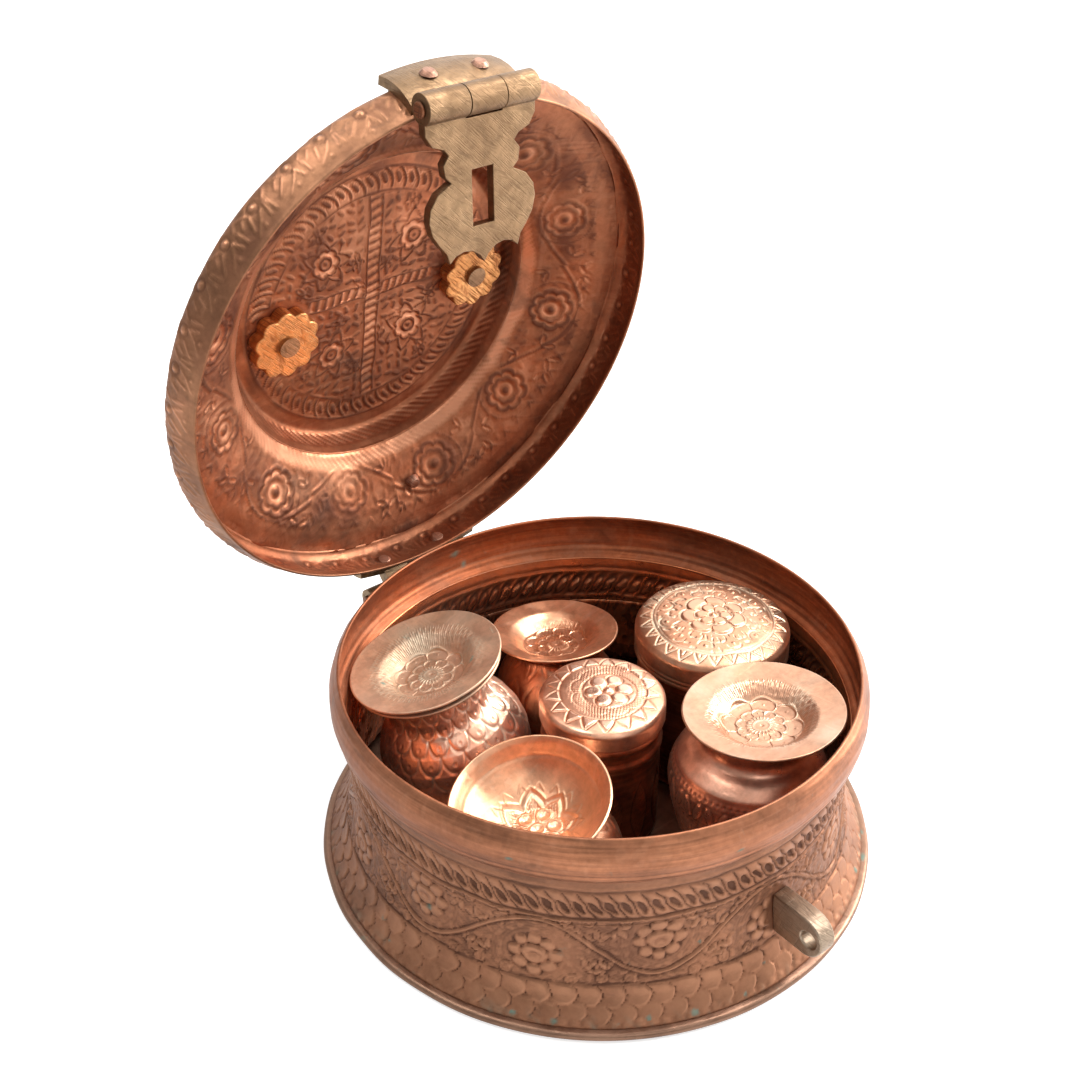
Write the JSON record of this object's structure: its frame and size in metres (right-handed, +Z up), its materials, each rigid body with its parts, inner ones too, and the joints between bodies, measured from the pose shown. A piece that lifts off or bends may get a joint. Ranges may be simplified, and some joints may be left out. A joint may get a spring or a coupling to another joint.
{
  "type": "turkish delight box",
  "caption": "Round copper box with a domed hinged lid, hasp and staple, bail handle on the lid, and loose pots, tins, dishes, a bowl and a cup that lift out.",
  "frame": {"origin": "centre of the round base's underside, on the surface it stands on", "axes": "+Z up, +Y from the hasp and staple towards the lid hinge, +X to the right seen from the hasp side"},
  "size_m": [0.2, 0.255, 0.261],
  "materials": {
    "drum_copper": "satin, worn",
    "base_copper": "satin, worn",
    "lid_copper": "satin, worn",
    "leaf_brass": "filed, satin",
    "hasp_brass": "filed, satin",
    "staple_brass": "filed, satin",
    "pin_iron": "worn",
    "handle_brass": "satin, worn",
    "washer_brass": "satin",
    "rivet_copper": "satin",
    "pot_left_copper": "satin, worn",
    "dish_left_tarnished": "tarnished",
    "pot_back_copper": "satin, worn",
    "dish_back_copper": "satin",
    "tin_right_copper": "satin, worn",
    "tin_cap_copper": "satin, worn",
    "tin_centre_copper": "satin, worn",
    "pot_right_copper": "satin, worn",
    "dish_right_copper": "satin, worn",
    "pot_front_copper": "satin, worn",
    "bowl_copper": "satin",
    "cup_copper": "dull"
  },
  "bodies": {
    "drum": {"drum_wall": "drum_copper", "base_plate": "base_copper", "hinge_body_leaf": "leaf_brass", "body_rivet_left": "rivet_copper", "body_rivet_right": "rivet_copper", "staple": "staple_brass", "staple_washer": "staple_brass", "hinge_pin": "pin_iron"},
    "lid": {"lid_shell": "lid_copper", "hinge_lid_leaf": "leaf_brass", "lid_rivet_left": "rivet_copper", "lid_rivet_right": "rivet_copper", "lid_plug_rivet": "rivet_copper", "hasp_lid_leaf": "hasp_brass", "hasp_rivet_left": "rivet_copper", "hasp_rivet_right": "rivet_copper", "handle_post_left": "handle_brass", "handle_post_right": "handle_brass", "inner_washer_left": "washer_brass", "inner_washer_right": "washer_brass", "outer_washer_left": "washer_brass", "outer_washer_right": "washer_brass"},
    "hasp_pin": {"hasp_pin": "pin_iron"},
    "hasp_plate": {"hasp_plate": "hasp_brass"},
    "bail": {"bail_handle": "handle_brass"},
    "pot_left": {"pot_left": "pot_left_copper"},
    "saucer_left": {"saucer_left": "dish_left_tarnished"},
    "dish_left": {"dish_left": "dish_left_tarnished"},
    "pot_back": {"pot_back": "pot_back_copper"},
    "dish_back": {"dish_back": "dish_back_copper"},
    "tin_right": {"tin_right": "tin_right_copper"},
    "tin_right_lid": {"tin_right_lid": "tin_cap_copper"},
    "tin_centre": {"tin_centre": "tin_centre_copper"},
    "tin_centre_lid": {"tin_centre_lid": "tin_cap_copper"},
    "pot_right": {"pot_right": "pot_right_copper"},
    "dish_right": {"dish_right": "dish_right_copper"},
    "pot_front": {"pot_front": "pot_front_copper"},
    "bowl_front": {"bowl_front": "bowl_copper"},
    "cup_front": {"cup_front": "cup_copper"}
  },
  "joints": [
    {"name": "lid_hinge", "type": "hinge", "parent": "drum", "child": "lid", "pos_m": [0, 0.1027, 0.0556], "axis": [-1, 0, 0], "range_deg": [-78.4, 0]},
    {"name": "hasp_pin_turn", "type": "hinge", "parent": "lid", "child": "hasp_pin", "pos_m": [0.0015, 0.06287, 0.25363], "axis": [-1, 0, 0], "range_deg": [-1, 93.6]},
    {"name": "hasp_swing", "type": "hinge", "parent": "hasp_pin", "child": "hasp_plate", "pos_m": [0.0015, 0.06287, 0.25363], "axis": [-1, 0, 0], "range_deg": [-15, 110]},
    {"name": "bail_swing", "type": "hinge", "parent": "lid", "child": "bail", "pos_m": [0.0027, 0.13945, 0.16502], "axis": [0.9981, -0.0123, 0.0598], "range_deg": [0, 163]},
    {"name": "pot_left_lift", "type": "slide", "parent": "drum", "child": "pot_left", "axis": [0, 0, 1], "range_m": [0, 0.08]},
    {"name": "saucer_left_lift", "type": "slide", "parent": "pot_left", "child": "saucer_left", "axis": [0, 0, 1], "range_m": [0, 0.025]},
    {"name": "dish_left_lift", "type": "slide", "parent": "saucer_left", "child": "dish_left", "axis": [0, 0, 1], "range_m": [0, 0.022]},
    {"name": "pot_back_lift", "type": "slide", "parent": "drum", "child": "pot_back", "axis": [0, 0, 1], "range_m": [0, 0.08]},
    {"name": "dish_back_lift", "type": "slide", "parent": "pot_back", "child": "dish_back", "axis": [0, 0, 1], "range_m": [0, 0.038]},
    {"name": "tin_right_lift", "type": "slide", "parent": "drum", "child": "tin_right", "axis": [0, 0, 1], "range_m": [0, 0.08]},
    {"name": "tin_right_lid_lift", "type": "slide", "parent": "tin_right", "child": "tin_right_lid", "axis": [0, 0, 1], "range_m": [0, 0.028]},
    {"name": "tin_centre_lift", "type": "slide", "parent": "drum", "child": "tin_centre", "axis": [0, 0, 1], "range_m": [0, 0.08]},
    {"name": "tin_centre_lid_lift", "type": "slide", "parent": "tin_centre", "child": "tin_centre_lid", "axis": [0, 0, 1], "range_m": [0, 0.028]},
    {"name": "pot_right_lift", "type": "slide", "parent": "drum", "child": "pot_right", "axis": [0, 0, 1], "range_m": [0, 0.08]},
    {"name": "dish_right_lift", "type": "slide", "parent": "pot_right", "child": "dish_right", "axis": [0, 0, 1], "range_m": [0, 0.02]},
    {"name": "pot_front_lift", "type": "slide", "parent": "drum", "child": "pot_front", "axis": [0, 0, 1], "range_m": [0, 0.08]},
    {"name": "bowl_front_lift", "type": "slide", "parent": "pot_front", "child": "bowl_front", "axis": [0, 0, 1], "range_m": [0, 0.04]},
    {"name": "cup_front_lift", "type": "slide", "parent": "drum", "child": "cup_front", "axis": [0, 0, 1], "range_m": [0, 0.08]}
  ],
  "couplings": [
    {"joint": "hasp_pin_turn", "follows": "lid_hinge", "ratio": -1.19}
  ]
}
